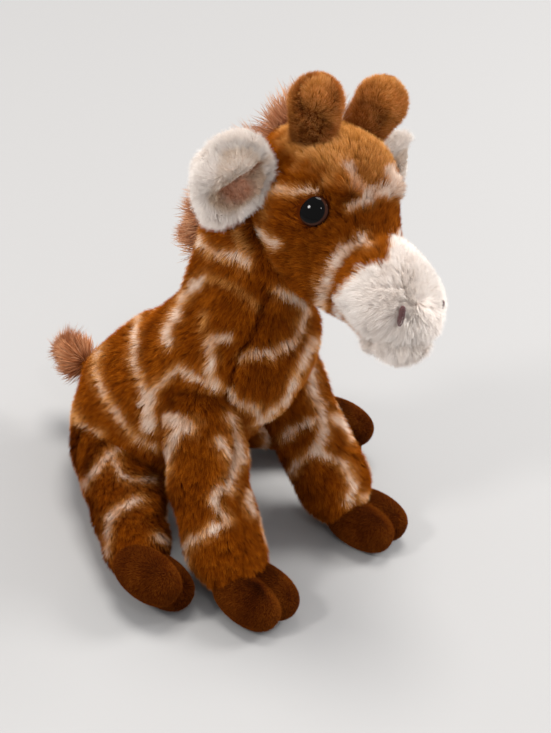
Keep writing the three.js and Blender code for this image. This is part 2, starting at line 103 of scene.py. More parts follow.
# ---------------------------------------------------------------- node helpers
class Wire:
    """A socket that takes arithmetic: each operator adds a Math node."""

    def __init__(self, tree, socket):
        self.tree, self.socket = tree, socket

    def maths(self, operation, first, second):
        return self.tree.node("ShaderNodeMath", {0: first, 1: second}, operation=operation)

    def __add__(self, other):
        return self.maths("ADD", self, other)

    __radd__ = __add__

    def __mul__(self, other):
        return self.maths("MULTIPLY", self, other)

    __rmul__ = __mul__

    def __sub__(self, other):
        return self.maths("SUBTRACT", self, other)

    def __rsub__(self, other):
        return self.maths("SUBTRACT", other, self)


def named(sockets, name):
    return next(s for s in sockets if s.name == name and s.enabled)


class Tree:
    """A node tree. node() adds one node: its type, the values or wires of its sockets, and its settings."""

    def __init__(self, tree):
        self.tree = tree

    def node(self, kind, inputs=None, out=0, **settings):
        made = self.tree.nodes.new(kind)
        for key, value in settings.items():
            if key == "stops":
                fill_ramp(made.color_ramp, value)
            else:
                setattr(made, key, value)
        for key, value in (inputs or {}).items():
            socket = made.inputs[key] if isinstance(key, int) else named(made.inputs, key)
            for one in value if isinstance(value, list) else [value]:
                if isinstance(one, Wire):
                    self.tree.links.new(one.socket, socket)
                else:
                    socket.default_value = one
        shown = [s for s in made.outputs if s.enabled]
        return Wire(self, shown[out] if isinstance(out, int) else named(shown, out))


def fill_ramp(ramp, stops):
    while len(ramp.elements) < len(stops):
        ramp.elements.new(1)
    for element, (place, colour) in zip(ramp.elements, stops):
        element.position, element.color = place, (*colour, 1)


# ---------------------------------------------------------------- materials
def finish(name, roughness, **constants):
    material = bpy.data.materials.new(name)
    material.use_nodes = True
    shader = next(n for n in material.node_tree.nodes if n.type == "BSDF_PRINCIPLED")
    shader.inputs["Roughness"].default_value = roughness
    for key, value in constants.items():
        shader.inputs[key.replace("_", " ")].default_value = value
    return material, Tree(material.node_tree), shader


def own_map(tree):
    """The two values of a piece's own map."""
    first = tree.node("ShaderNodeSeparateXYZ", {0: tree.node("ShaderNodeUVMap", uv_map="OFBake")})
    return first, Wire(tree, first.socket.node.outputs[1])


def by_ramp(name, roughness, stops, **constants):
    """A material whose colour follows the first value of its own map."""
    material, tree, shader = finish(name, roughness, **constants)
    colour = tree.node("ShaderNodeValToRGB", {0: own_map(tree)[0]}, stops=stops)
    tree.tree.links.new(colour.socket, shader.inputs["Base Color"])
    return material


def by_pile(name, rows):
    """A pile whose colour is read from its own map: across it runs from dye to dye, and up it from root to tip."""
    material, tree, shader = finish(name, 0.9, Specular_IOR_Level=0.025)
    across, up = own_map(tree)
    colour = tree.node("ShaderNodeValToRGB", {0: up}, stops=rows[0])
    for i, row in enumerate(rows[1:]):
        limits = {"Value": across, "From Min": i / (len(rows) - 1), "From Max": (i + 1) / (len(rows) - 1)}
        after = tree.node("ShaderNodeValToRGB", {0: up}, stops=row)
        both = {"Factor": tree.node("ShaderNodeMapRange", limits), "A": colour, "B": after}
        colour = tree.node("ShaderNodeMix", both, out="Result", data_type="RGBA")
    tree.tree.links.new(colour.socket, shader.inputs["Base Color"])
    return material


# Dyes: each has its colours from the strands' shaded roots (0) to their tips (1)
CHESTNUT = [(0.0, (0.03, 0.004, 0.0002)), (0.3, (0.11, 0.019, 0.0004)),
            (0.65, (0.25, 0.052, 0.0010)), (1.0, (0.52, 0.145, 0.008))]
TAN = [(0.0, (0.10, 0.026, 0.003)), (0.35, (0.34, 0.115, 0.016)),
       (0.7, (0.74, 0.32, 0.075)), (1.0, (0.98, 0.58, 0.23))]
CREAM = [(0.0, (0.38, 0.20, 0.10)), (0.35, (0.74, 0.52, 0.37)), (1.0, (0.99, 0.89, 0.79))]
WHITE = [(0.0, (0.88, 0.77, 0.70)), (0.35, (0.94, 0.86, 0.80)), (1.0, (0.98, 0.93, 0.88))]
LINEN = [(0.0, (0.58, 0.42, 0.29)), (1.0, (0.88, 0.73, 0.58))]
BLUSH = [(0.0, (0.50, 0.22, 0.12)), (1.0, (0.82, 0.47, 0.31))]
RUST = [(0.0, (0.08, 0.016, 0.005)), (0.4, (0.30, 0.085, 0.030)), (1.0, (0.66, 0.30, 0.14))]
AUBURN = [(0.0, (0.12, 0.030, 0.009)), (0.4, (0.46, 0.18, 0.070)), (1.0, (0.86, 0.50, 0.29))]
COCOA = [(0.0, (0.012, 0.002, 0.0002)), (0.5, (0.05, 0.008, 0.0005)), (1.0, (0.17, 0.037, 0.0025))]
UMBER = [(0.0, (0.018, 0.003, 0.0003)), (0.5, (0.08, 0.015, 0.0010)), (1.0, (0.27, 0.075, 0.0080))]

FUR = by_pile("fur pile", [CHESTNUT, TAN, CREAM])
FACE_FUR = by_pile("face pile", [CHESTNUT, TAN, CREAM, WHITE])
PALE = by_pile("ear pile", [BLUSH, LINEN, WHITE])
MANE = by_pile("mane pile", [RUST, AUBURN])
HORN = by_pile("horn pile", [CHESTNUT, TAN])
VELOUR = by_pile("hoof velour", [COCOA, UMBER])


# ---------------------------------------------------------------- forms
def along(rows, column, share):
    """A table's column at shares of the way along it, on a smooth curve through its rows."""
    rows = np.array(rows, float)
    at = np.clip(np.searchsorted(rows[:, 0], share), 1, len(rows) - 1)
    start, end = rows[at - 1], rows[at]
    before, after = rows[np.maximum(at - 2, 0)], rows[np.minimum(at + 1, len(rows) - 1)]
    span = end[:, 0] - start[:, 0]
    t = (share - start[:, 0]) / span
    lean_in = (end[:, column] - before[:, column]) / (end[:, 0] - before[:, 0]) * span
    lean_out = (after[:, column] - start[:, column]) / (after[:, 0] - start[:, 0]) * span
    return ((2 * t**3 - 3 * t**2 + 1) * start[:, column] + (t**3 - 2 * t**2 + t) * lean_in
            + (3 * t**2 - 2 * t**3) * end[:, column] + (t**3 - t**2) * lean_out)


def closed(rings, low, high):
    """Points and faces of a closed skin over rings of equal count, with a pole at each end."""
    count, size = rings.shape[:2]
    points = np.concatenate([rings.reshape(-1, 3), [low, high]])
    j = np.arange(size)
    k = (j + 1) % size
    faces = []
    for i in range(count - 1):
        a, b = i * size, (i + 1) * size
        faces += np.stack([a + j, a + k, b + k, b + j], -1).tolist()
    last = (count - 1) * size
    bottom, top = len(points) - 2, len(points) - 1
    faces += np.stack([np.full(size, bottom), k, j], -1).tolist()
    faces += np.stack([np.full(size, top), last + j, last + k], -1).tolist()
    return points, faces


def circle(count):
    angle = 2 * np.pi * (np.arange(count) + 0.5) / count
    return np.cos(angle), np.sin(angle)


def arc(low, high, steps):
    return np.radians(np.linspace(low, high, steps))


def stuffed(length, width, depth, rows, ends, flat=0.0, grow=0.0, around=56, steps=44):
    """A stuffed form up Z from 0: oval rings that swell and taper as its rows say, with rounded ends."""
    share = (1 - np.cos(np.pi * np.arange(0 if flat else 1, steps) / steps)) / 2
    start = np.minimum(share / ends[0], 1)
    end = np.minimum((1 - share) / ends[1], 1)
    girth = (flat + (1 - flat) * np.sqrt(1 - (1 - start) ** 2)) * np.sqrt(1 - (1 - end) ** 2)
    half_width = (width / 2 * along(rows, 1, share) + grow) * girth
    half_depth = (depth / 2 * along(rows, 2, share) + grow) * girth
    ahead = depth * along(rows, 3, share)
    height = (-grow + (length + 2 * grow) * share)[:, None]
    c, s = circle(around)
    rings = np.stack([half_width[:, None] * c, ahead[:, None] + half_depth[:, None] * s, height + 0 * c], -1)
    tip = along(rows, 3, np.array([0.0, 1.0])) * depth
    return closed(rings, (0, tip[0], -grow), (0, tip[1], length + grow))


def turned(profile, low, high, around=48):
    c, s = circle(around)
    rings = np.array([np.stack([r * c, r * s, z + 0 * c], -1) for r, z in profile])
    return closed(rings, (0, 0, low), (0, 0, high))


def egg(half, centre=(0, 0, 0), steps=20, around=32):
    angles = np.pi * np.arange(1, steps) / steps
    points, faces = turned(list(zip(np.sin(angles), -np.cos(angles))), -1, 1, around)
    return points * half + centre, faces


def moved(form, matrix):
    points, faces = form
    m = np.array(matrix)
    return points @ m[:3, :3].T + m[:3, 3], faces


def basis(x, y, z, place):
    m = Matrix.Identity(4)
    for i, axis in enumerate((x, y, z, place)):
        for j in range(3):
            m[j][i] = axis[j]
    return m


def turn(degrees, axis):
    return Matrix.Rotation(math.radians(degrees), 4, axis)


def shift(*place):
    return Matrix.Translation(place)


# Where the parts sit
NECK_FRAME = shift(-2, -43, 102) @ turn(5, "X") @ turn(3, "Y")
FACE_FRAME = shift(13, -69, 200) @ turn(-8, "Z") @ turn(13, "Y")
SIDES = (("right", -1), ("left", 1))
INSET = -1.8  # the skins lie this far inside the solids' surface, so that their pile ends near it

# Each leg's girths are its radii at the hip, the knee and the ankle. Its cuff is how far its skin reaches past the
# solid's end, over the hoof, and its bow how far it bends in the middle.
FRONT = dict(ahead=14, cuff=4, roll=0)
HIND = dict(ahead=9, cuff=1, girths=(23, 20.5, 18))
LEGS = {
    "front_leg_right": dict(FRONT, hip=(-31, -53, 82), ankle=(-46, -100, 12), girths=(21.5, 20.5, 21),
                        side=-1, bow=(-2.5, 3.5, 0)),
    "front_leg_left": dict(FRONT, hip=(31, -53, 82), ankle=(46, -100, 12), girths=(21.5, 20, 20.5),
                       side=1, bow=(0, 0, 0)),
    "hind_leg_right": dict(HIND, hip=(-31, 4, 32), ankle=(-80, -65, 17), roll=40, side=-1, bow=(0, 0, 0)),
    "hind_leg_left": dict(HIND, hip=(31, 4, 32), ankle=(93, -46, 17), roll=-40, side=1, bow=(0, 0, 0)),
}


# ---------------------------------------------------------------- skins
def mesh_of(name, points, faces):
    data = bpy.data.meshes.new(name)
    data.from_pydata((np.asarray(points) * MM).tolist(), [], faces)
    data.update()
    return data


def plain(obj):
    """The object with its modifiers made part of its mesh."""
    evaluated = obj.evaluated_get(bpy.context.evaluated_depsgraph_get())
    data = bpy.data.meshes.new_from_object(evaluated)
    obj.modifiers.clear()
    old, obj.data = obj.data, data
    bpy.data.meshes.remove(old)
    return obj


def sewn(name, forms, grain, rounds):
    """One closed skin round overlapping forms, remeshed at a grain and smoothed at their joins."""
    points, faces, first = [], [], 0
    for p, f in forms:
        points.append(p)
        faces += [[i + first for i in face] for face in f]
        first += len(p)
    obj = link(bpy.data.objects.new(name, mesh_of(name, np.concatenate(points), faces)))
    knit = obj.modifiers.new("knit", "REMESH")
    knit.mode, knit.voxel_size = "VOXEL", grain * MM
    soft = obj.modifiers.new("soft", "SMOOTH")
    soft.factor, soft.iterations = 0.5, rounds
    return plain(obj)


def fetched(rows, key, width=3):
    out = np.empty(len(rows) * width, np.float32)
    rows.foreach_get(key, out)
    return out.reshape(-1, width).astype(float) if width > 1 else out.astype(float)


def places(data):
    return fetched(data.vertices, "co") / MM


def set_places(data, points):
    data.vertices.foreach_set("co", (points * MM).astype(np.float32).ravel())
    data.update()


def store(data, name, kind, values):
    made = data.attributes.new(name, kind, "POINT")
    made.data.foreach_set("vector" if kind == "FLOAT_VECTOR" else "value", np.asarray(values, np.float32).ravel())


def read(data, name, width=1):
    return fetched(data.attributes[name].data, "vector" if width == 3 else "value", width)


def lay_map(data, values):
    """Gives a mesh its own map, from two values at each of its points, and shades it smooth."""
    corners = np.empty(len(data.loops), np.int32)
    data.loops.foreach_get("vertex_index", corners)
    layer = data.uv_layers.new(name="OFBake")
    layer.uv.foreach_set("vector", values[corners].astype(np.float32).ravel())
    data.polygons.foreach_set("use_smooth", np.ones(len(data.polygons), bool))


def unit(v):
    return v / np.maximum(np.linalg.norm(v, axis=-1, keepdims=True), 1e-9)


def level(v, n):
    """Directions laid flat on a skin with these normals."""
    return v - (v * n).sum(1, keepdims=True) * n


def smooth(low, high, x):
    t = np.clip((x - low) / (high - low), 0, 1)
    return t * t * (3 - 2 * t)


WAVES = unit(random.normal(0, 1, (3, 7, 3))) * random.uniform(0.7, 1.5, (3, 7, 1)) * 2 * np.pi
PHASES = random.uniform(0, 2 * np.pi, (3, 7))


def mottle(p, scale, which=0):
    """A smooth random value over space, near -1 to 1, whose waves are about a scale long."""
    return np.sin(p @ WAVES[which].T / scale + PHASES[which]).sum(1) / 3.2


def drift(p, scale):
    return np.stack([mottle(p, scale, i) for i in range(3)], -1)


def lumpy(obj, height, scale):
    """Gives a skin the soft lumps of its stuffing."""
    p = places(obj.data)
    set_places(obj.data, p + height * mottle(p, scale)[:, None] * fetched(obj.data.vertex_normals, "vector"))
    return obj


# ---------------------------------------------------------------- markings
# Cream lines as they lie in the photograph's pixels: a width, the x and y of points along the line, and a strength
# where the line is faint.
MARKS = {
    "body": [
        (6, [139, 318, 137, 340, 136, 362, 140, 378, 146, 392, 149, 405]),
        (5, [149, 397, 160, 386, 176, 372, 181, 367, 190, 374, 205, 381, 217, 388]),
        (13, [149, 398, 150, 412, 150, 426]),
        (5, [103, 345, 98, 362, 99, 380, 107, 397, 116, 411, 126, 425, 137, 437, 148, 444, 156, 445], 0.85),
        (5, [72, 398, 74, 410, 80, 421, 89, 429, 103, 433], 0.8),
        (8, [207, 277, 196, 288, 186, 299, 180, 312, 177, 320, 170, 330, 168, 338, 171, 345]),
        (3.5, [207, 277, 222, 281, 235, 286, 247, 297, 258, 308], 0.4),
        (6, [196, 232, 202, 246, 212, 253, 225, 256, 236, 257, 247, 264]),
        (7, [236, 236, 243, 250, 247, 261], 0.55),
        (6, [275, 290, 288, 295, 299, 302, 304, 310, 299, 320, 299, 332, 293, 342,
             284, 349, 270, 354, 255, 355, 242, 358]),
        (7, [311, 342, 302, 358, 298, 368, 292, 380, 286, 393, 280, 403, 270, 412, 260, 420, 253, 425]),
        (8, [230, 392, 232, 401, 244, 404, 254, 408, 259, 417]),
        (9, [226, 339, 214, 340, 211, 350, 213, 362, 210, 373, 216, 386]),
        (5, [206, 316, 203, 330], 0.5),
    ],
    "front_leg_right": [
        (14, [148, 402, 152, 415, 165, 421, 180, 425, 192, 427]),
        (9, [183, 430, 176, 438, 170, 452, 167, 468, 163, 485, 161, 499]),
        (7, [229, 418, 234, 432, 236, 447, 239, 458]),
        (7, [218, 442, 224, 450, 233, 459, 240, 460]),
        (7, [236, 460, 231, 470, 228, 482, 229, 491]),
        (6, [228, 485, 218, 492, 214, 502, 220, 512, 226, 522]),
        (8, [226, 524, 214, 530, 203, 536, 193, 543, 185, 549]),
        (8, [185, 549, 185, 558, 189, 568, 195, 582, 204, 597]),
        (8, [248, 495, 246, 505, 251, 513]),
        (6, [176, 367, 190, 374, 206, 381, 217, 388]),
    ],
    "front_leg_left": [
        (9, [311, 386, 315, 402, 320, 415, 323, 430, 319, 443, 316, 452]),
        (7, [318, 450, 306, 457, 298, 465, 291, 474]),
        (7, [317, 450, 328, 456, 340, 463, 348, 474, 352, 487, 348, 500]),
        (7, [320, 418, 305, 424, 296, 429, 286, 437]),
        (11, [335, 418, 343, 427, 351, 437]),
        (7, [304, 346, 307, 362, 310, 380, 313, 392]),
        (7, [359, 497, 372, 498, 384, 503]),
    ],
    "hind_leg_right": [
        (7, [130, 441, 122, 447, 112, 455, 106, 463, 98, 472, 89, 481, 82, 492, 78, 500]),
        (4, [112, 458, 117, 468, 121, 477, 128, 482, 140, 483, 152, 482]),
        (9, [111, 522, 120, 512, 130, 506, 140, 502]),
        (5, [112, 522, 110, 535, 110, 554]),
        (7, [156, 540, 165, 544, 173, 549]),
    ],
    "head": [
        (8, [347, 165, 350, 173], 0.8),
        (12, [351, 180, 356, 187], 0.6),
        (15, [390, 172, 397, 180, 390, 186, 378, 190, 366, 196]),
        (6, [364, 197, 354, 203, 348, 207], 0.9),
        (9, [396, 178, 400, 190, 403, 203]),
        (7, [272, 192, 282, 190, 294, 192, 304, 190, 314, 189], 0.8),
        (5, [270, 193, 266, 205, 267, 216], 0.35),
        (8, [263, 231, 269, 236, 276, 242], 0.9),
        (4, [261, 240, 264, 252, 268, 262, 276, 275], 0.8),
        (10, [362, 239, 350, 247, 339, 255, 332, 265, 329, 277, 325, 290, 323, 303]),
        (4, [362, 238, 368, 249]),
        (4, [328, 272, 319, 283], 0.7),
    ],
}
# The edge of the white muzzle in the photograph: white lies to the right of this line, going down.
MUZZLE_EDGE = [
    397, 226, 391, 238, 387, 252, 385, 265, 371, 267, 359, 271, 354, 282, 345, 292, 337, 300,
    335, 314, 346, 328, 354, 338,
]
# Seams where the pile parts, in the photograph's pixels
SEAMS = {
    "body": [266, 292, 262, 305, 254, 332, 245, 345, 237, 362, 229, 388, 227, 416],
    "front_leg_right": [231, 425, 232, 445, 229, 470, 222, 490, 218, 505, 221, 520],
}


def from_line(px, line):
    line = np.array(line, float).reshape(-1, 2)
    best = np.full(len(px), 1e9)
    for a, b in zip(line[:-1], line[1:]):
        t = np.clip(((px - a) @ (b - a)) / ((b - a) @ (b - a)), 0, 1)
        best = np.minimum(best, np.linalg.norm(px - a - t[:, None] * (b - a), axis=1))
    return best


def edged(away, inner, outer, halo):
    """From 0 to 1, how cream places are by their distance past a line's edge: a soft edge, then a faint halo."""
    return np.maximum((1 - smooth(inner, outer, away)) ** 0.7, 0.20 * (1 - smooth(0, halo, away)))


def drawn(px, marks):
    """From 0 to 1, how cream the pixels are under a set of marks, whose width and strength vary along them."""
    flat = np.concatenate([px, np.zeros((len(px), 1))], 1)
    wider = 0.9 + 0.34 * mottle(flat, 24, 1)
    ragged = mottle(flat, 6, 0)
    weaker = 1 - 0.28 * np.clip(mottle(flat, 22, 2) + 0.25, 0, 1)
    cream = np.zeros(len(px))
    for width, line, *strength in marks:
        away = from_line(px, line) + ragged - width / 2 * wider
        cream = np.maximum(cream, edged(away, -2.0, 2.8, 9) * weaker * (strength or [1])[0])
    return cream


def celled(points, seeds, wide):
    """The same kind of lines on the sides that the photograph hides: the borders between patches round seeds."""
    nearest = np.full(len(points), 1e9)
    second = nearest.copy()
    for seed in seeds:
        d = np.linalg.norm(points - seed, axis=1)
        second = np.minimum(second, np.maximum(d, nearest))
        nearest = np.minimum(nearest, d)
    wide = wide * (1 + 0.35 * mottle(points, 16, 1))
    away = (second - nearest) / 2 + 0.5 * mottle(points, 3) - wide
    return edged(away, -1.1, 1.4, 4.5) * (1 - 0.22 * np.clip(mottle(points, 21, 2) + 0.4, 0, 1))


def spaced(points, gap):
    """Points of a skin that lie at least a gap apart, picked at random."""
    left = points[random.permutation(len(points))[:4000]]
    picked = []
    while len(left):
        picked.append(left[0])
        left = left[np.linalg.norm(left - left[0], axis=1) > gap]
    return picked


# ---------------------------------------------------------------- pile
def strand(name, outline):
    """A blade in the XZ plane: half width, distance towards X and height at each step, ending in a point."""
    points, faces, share = [], [], []
    for half, x, z in outline[:-1]:
        points += [(x, -half, z), (x, half, z)]
        share += [z, z]
    _, x, z = outline[-1]
    points.append((x, 0, z))
    share.append(1)
    for i in range(0, len(points) - 3, 2):
        faces.append([i, i + 1, i + 3, i + 2])
    n = len(points) - 1
    faces.append([n - 2, n - 1, n])
    data = bpy.data.meshes.new(name)
    data.from_pydata(points, [], faces)
    store(data, "up", "FLOAT", share)
    store(data, "edge", "FLOAT", [i % 2 for i in range(len(points))])
    return bpy.data.objects.new(name, data)


SHORT = strand("short", [(0.5, 0, 0), (0, 0, 1)])
LONG = strand("long", [(0.45, 0, 0), (0.5, 0.03, 0.4), (0.33, 0.14, 0.75), (0, 0.32, 1)])

# Each pile: its count of strands, their width, lift and stray in degrees, the distance between its locks and how far
# those pull the strands' tips. swirl turns the comb, wave curls the strands, tousle throws whole locks about, and
# grain is the scale of swirl and of changes in tone.
COAT = dict(strand=SHORT, width=0.32, lift=30, stray=18, locks=2.6, pull=0.5)
HAIR = dict(strand=LONG, width=0.46, stray=14, locks=5.0, pull=1.0)
PILES = {
    "body": dict(COAT, count=260000),
    "leg": dict(COAT, count=90000),
    "hoof": dict(COAT, count=42000, width=0.20, lift=34, stray=20, locks=1.1, pull=0.2,
             grain=22.0, tousle=0.15),
    "head": dict(COAT, count=190000),
    "muzzle": dict(COAT, count=150000, lift=41, stray=22, locks=3.0, pull=0.4,
               swirl=0.35, wave=0.3, tousle=0.8),
    "chin": dict(COAT, count=45000, lift=42, stray=24, locks=3.2, swirl=0.5, wave=0.4, tousle=0.9),
    "horn": dict(COAT, count=44000, width=0.27, lift=52, stray=24, locks=2.0, pull=0.3,
             swirl=0.5, tousle=0.3),
    "ear": dict(COAT, count=36000, width=0.28, lift=35, stray=22, pull=0.4),
    "lining": dict(COAT, count=46000, width=0.24, lift=42, stray=26, locks=2.2, pull=0.45, swirl=0.6),
    "head mane": dict(HAIR, count=9000, lift=58, swirl=0.5, wave=1.6, tousle=6),
    "neck mane": dict(HAIR, count=8000, lift=52, swirl=0.4, wave=1.5, tousle=5),
    "tail": dict(COAT, count=7000, width=0.33, lift=27, pull=0.4),
    "tuft": dict(HAIR, count=6000, width=0.42, lift=14, locks=4.5, pull=0.7, wave=1.0, tousle=3),
}


def pile_tree():
    """Strands on a skin: combed along its comb attribute, as long and thick as its length and thick say."""
    group = bpy.data.node_groups.new("pile", "GeometryNodeTree")
    face = group.interface
    for way in ("OUTPUT", "INPUT"):
        face.new_socket("Geometry", in_out=way, socket_type="NodeSocketGeometry")
    kinds = {"Strand": "Object", "Density": "Float", "Width": "Float", "Lift": "Float", "Stray": "Float",
             "Locks": "Float", "Seed": "Int", "Pile": "Material"}
    ids = {name: face.new_socket(name, in_out="INPUT", socket_type=f"NodeSocket{kind}").identifier
           for name, kind in kinds.items()}
    tree = Tree(group)
    given = {s.name: Wire(tree, s) for s in group.nodes.new("NodeGroupInput").outputs}
    skin, seed, stray = given["Geometry"], given["Seed"], given["Stray"]

    def attribute(name, kind="FLOAT"):
        return tree.node("GeometryNodeInputNamedAttribute", {"Name": name}, data_type=kind)

    def chance(low, high, which):
        limits = {"Min": low, "Max": high, "Seed": seed + which}
        return tree.node("FunctionNodeRandomValue", limits, data_type="FLOAT")

    def euler(x, y, z):
        angles = tree.node("ShaderNodeCombineXYZ", {0: x, 1: y, 2: z})
        return tree.node("FunctionNodeEulerToRotation", {"Euler": angles})

    def scatter(density, seed):
        return tree.node("GeometryNodeDistributePointsOnFaces", {"Mesh": skin, "Density": density, "Seed": seed})

    points = scatter(given["Density"] * attribute("thick"), seed)
    normal = Wire(tree, points.socket.node.outputs["Normal"])
    locks = scatter(given["Locks"], seed + 1)
    place = tree.node("GeometryNodeInputPosition")
    nearest = tree.node("GeometryNodeSampleNearest", {"Geometry": locks, "Sample Position": place})
    sample = {"Geometry": locks, "Value": place, "Index": nearest}
    lock = tree.node("GeometryNodeSampleIndex", sample, data_type="FLOAT_VECTOR")
    axes = {"Primary Axis": normal, "Secondary Axis": attribute("comb", "FLOAT_VECTOR")}
    way = tree.node("FunctionNodeAxesToRotation", axes, primary_axis="Z", secondary_axis="X")
    tilt = math.pi / 2 - given["Lift"] + stray * chance(-0.7, 0.7, 3)
    for by in (euler(0, 0, stray * chance(-1.0, 1.0, 2)), euler(0, tilt, 0), euler(0, 0, chance(-0.6, 0.6, 4))):
        both = {"Rotation": way, "Rotate By": by}
        way = tree.node("FunctionNodeRotateRotation", both, rotation_space="LOCAL")
    long = attribute("length")
    lengths = {0: long, 1: given["Width"] * chance(0.7, 1.3, 5), 2: long * chance(0.75, 1.2, 6)}
    size = tree.node("ShaderNodeCombineXYZ", lengths)
    shape = tree.node("GeometryNodeObjectInfo", {"Object": given["Strand"]}, out="Geometry")
    each = {"Points": points, "Instance": shape, "Rotation": way, "Scale": size}
    made = tree.node("GeometryNodeInstanceOnPoints", each)
    told = (("root", "FLOAT_VECTOR", place), ("lock", "FLOAT_VECTOR", lock), ("tone", "FLOAT", chance(0.0, 1.0, 7)))
    for name, kind, value in told:
        row = {"Geometry": made, "Name": name, "Value": value}
        made = tree.node("GeometryNodeStoreNamedAttribute", row, data_type=kind, domain="INSTANCE")
    strands = tree.node("GeometryNodeRealizeInstances", {"Geometry": made})
    whole = tree.node("GeometryNodeJoinGeometry", {"Geometry": [skin, strands]})
    final = tree.node("GeometryNodeSetMaterial", {"Geometry": whole, "Material": given["Pile"]})
    group.links.new(final.socket, group.nodes.new("NodeGroupOutput").inputs[0])
    return group, ids


PILE, PILE_IDS = pile_tree()
NORMAL = ("nx", "ny", "nz")
FLOOR_GAP = 0.4
SEEN_AT = 0.75  # a strand takes the colour of the place that this share of its reach hangs over


def planted(obj, material, comb, length, thick, swirl, grain, strand, count, width, lift, stray, locks, seed):
    """Adds a pile's strands to a skin's mesh, straight and evenly spread."""
    data = obj.data
    p, n = places(data), fetched(data.vertex_normals, "vector")
    flow = unit(comb(p, n)) + swirl * drift(p, grain * 1.6)
    store(data, "comb", "FLOAT_VECTOR", unit(level(flow, n)))
    store(data, "length", "FLOAT", length(p, n) * MM)
    store(data, "thick", "FLOAT", thick(p, n))
    for i, axis in enumerate(NORMAL):
        store(data, axis, "FLOAT", n[:, i])
    store(data, "up", "FLOAT", np.full(len(p), -1.0))
    modifier = obj.modifiers.new("pile", "NODES")
    modifier.node_group = PILE
    fewer, wider = ((1, 1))
    values = {
        "Strand": strand, "Density": count * fewer / sum(f.area for f in data.polygons), "Width": width * MM * wider,
        "Lift": math.radians(lift), "Stray": math.radians(stray), "Locks": 1 / (locks * MM) ** 2, "Seed": seed,
        "Pile": material,
    }
    for key, value in values.items():
        modifier[PILE_IDS[key]] = value
    plain(obj)


def furred(obj, material, pile, comb, length, dye, thick=None, seed=1):
    """Covers a skin with a pile. comb, length and thick are functions of places and normals on the skin.

    dye is a function of places, normals and each strand's own tone, which gives the shares across the material's
    dyes and how much lighter the pile is there. Where it curls and locks, its points are moved after planting.
    """
    looks = {"swirl": 0.3, "wave": 0.0, "grain": 9.0, "tousle": 0.5, **PILES[pile]}
    pull, wave, tousle = (looks.pop(key) for key in ("pull", "wave", "tousle"))
    grain = looks["grain"]
    planted(obj, material, comb, length, thick or lasting(1), seed=seed, **looks)
    data = obj.data
    p, up = places(data), read(data, "up")
    hair = up >= 0
    root = np.where(hair[:, None], read(data, "root", 3) / MM, p)
    n = unit(np.stack([read(data, axis) for axis in NORMAL], -1))
    flow, tall = read(data, "comb", 3), read(data, "length") / MM
    tone, edge = read(data, "tone"), read(data, "edge")
    lock = read(data, "lock", 3) / MM

    rise = np.clip(up, 0, 1)[:, None]
    lean = level((lock - root) * pull + tousle * drift(lock, 2.3), n)
    curl = drift(root, grain / 3) * wave * np.sin(4.5 * rise) * rise
    p = np.where(hair[:, None], p + lean * rise**1.5 + curl, p)
    p[:, 2] = np.maximum(p[:, 2], FLOOR_GAP)
    set_places(data, p)

    reach = SEEN_AT * math.cos(math.radians(looks["lift"])) * tall
    across, shade = dye(root + np.where(hair, reach, 0)[:, None] * flow, n, tone)
    speck = random.random(len(p))
    u = across + 0.012 * np.where(hair, edge, speck)
    # Each strand is painted darker towards its root, and the skin between strands takes the root colour: painted
    # shade down in the pile.
    on_strand = 0.10 + 0.50 * rise[:, 0] + 0.32 * tone + 0.06 * mottle(lock, 1.7, 1)
    blotched = 0.06 * mottle(root, grain) + 0.07 * mottle(root, 24, 2)
    v = shade + blotched + np.where(hair, on_strand, 0.06 + 0.05 * speck)
    for name in ("comb", "length", "thick", *NORMAL, "root", "lock", "tone", "up", "edge"):
        data.attributes.remove(data.attributes[name])
    lay_map(data, np.clip(np.stack([u, v], -1), 0.005, 0.99))
    return obj


def kept(obj, nodes, body):
    """Hides the solids that a piece replaces, and hangs it on the body it rides."""
    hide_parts(*nodes)
    if body:
        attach(obj, body)


def lasting(value):
    return lambda p, n: np.full(len(p), float(value))


def heading(axis):
    return lambda p, n: np.broadcast_to(np.array(axis, float), p.shape)


COAT_LENGTH = 5.0


def coat(seam, shorter):
    """How long the coat is, which is shorter along a seam."""
    return lambda p, n: COAT_LENGTH * (1 - shorter * parted(p, n, seam))


def sat_on(share):
    """How thick a pile is that is worn thin where the toy sits on it."""
    return lambda p, n: np.where(p[:, 2] < 2.5, share, 1.0)


def plain_dye(low=0.02, high=0.96, shade=0.0):

    def dye(root, n, tone):
        share = np.clip(0.5 + 0.35 * mottle(root, 11, 1) + 0.3 * (tone - 0.5), 0, 1)
        return low + (high - low) * share, shade

    return dye


def in_view(n, low=0.02, high=0.22):
    """From 0 to 1, how far skin with these normals faces the photograph."""
    return smooth(low, high, n @ BACK)


def parted(p, n, seam):
    """From 0 to 1, how near places lie to a seam that the photograph shows."""
    if not seam:
        return np.zeros(len(p))
    return (1 - smooth(1.0, 5.0, from_line(in_photo(p), seam))) * in_view(n)


def in_pixels(places_on_skin):
    """Where places lie in the photograph, scattered a little so that the markings' edges are ragged."""
    return in_photo(places_on_skin) + random.normal(0, 1.2, (len(places_on_skin), 2))


def patched(marks, seeds, wide, seam=None):
    """A dye of chestnut patches and cream lines: drawn where the photograph shows the skin, and celled elsewhere."""

    def dye(root, n, tone):
        shown = in_view(n) if marks else np.zeros(len(root))
        px = in_pixels(root)
        cream = (1 - shown) * celled(root + random.normal(0, 0.5, root.shape), seeds, wide)
        if marks:
            cream += shown * drawn(px, marks)
        # Darker along a seam where the pile parts: painted shade in the parting.
        return 0.97 * cream, -0.28 * parted(root, n, seam)

    return dye


